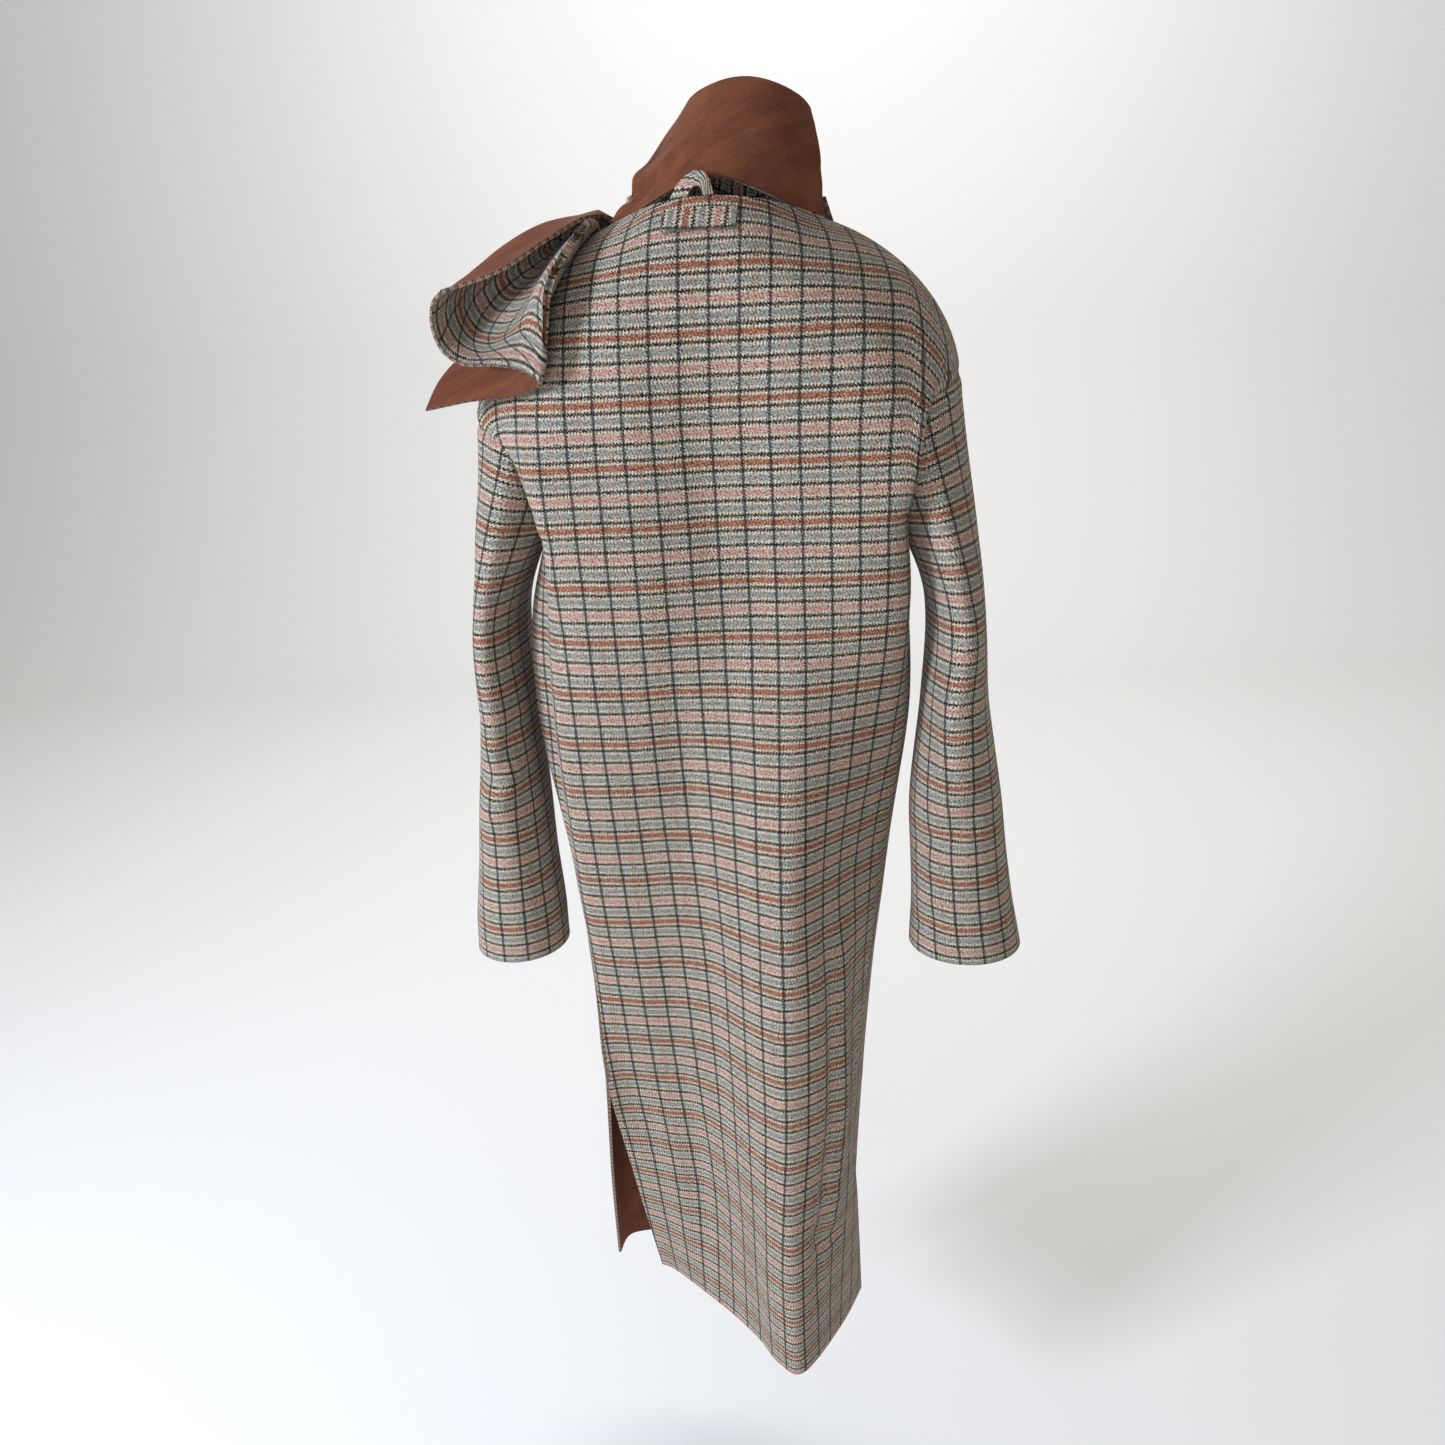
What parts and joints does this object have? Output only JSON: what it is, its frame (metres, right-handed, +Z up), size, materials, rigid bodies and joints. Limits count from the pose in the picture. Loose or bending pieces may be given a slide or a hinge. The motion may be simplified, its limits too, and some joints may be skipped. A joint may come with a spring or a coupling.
{
  "type": "long coat with scarf collar",
  "caption": "Long reversible wool coat, hollow and worn-shaped, with dropped shoulders, side slits, straight sleeves and a scarf collar thrown over the left shoulder.",
  "frame": {"origin": "middle of the neck opening, level with its two shoulder points, where the coat rests on its wearer", "axes": "+Z up along the coat's length, +X to the wearer's left, +Y to the wearer's back"},
  "size_m": [0.578, 0.2451, 1.3044],
  "materials": {
    "checked_wool": "brushed check weave in black, grey, cream, rust and dusty pink",
    "rust_wool": "plain napped rust-brown wool"
  },
  "bodies": {
    "root": {"back": "checked_wool", "front_right": "checked_wool", "front_left": "checked_wool", "sleeve_right": "checked_wool", "sleeve_left": "checked_wool", "hanger_tab": "checked_wool", "neck_loop": "checked_wool", "scarf_wrap": "rust_wool", "scarf_front": "rust_wool", "scarf_end": "rust_wool", "scarf_under": "rust_wool"}
  },
  "joints": []
}
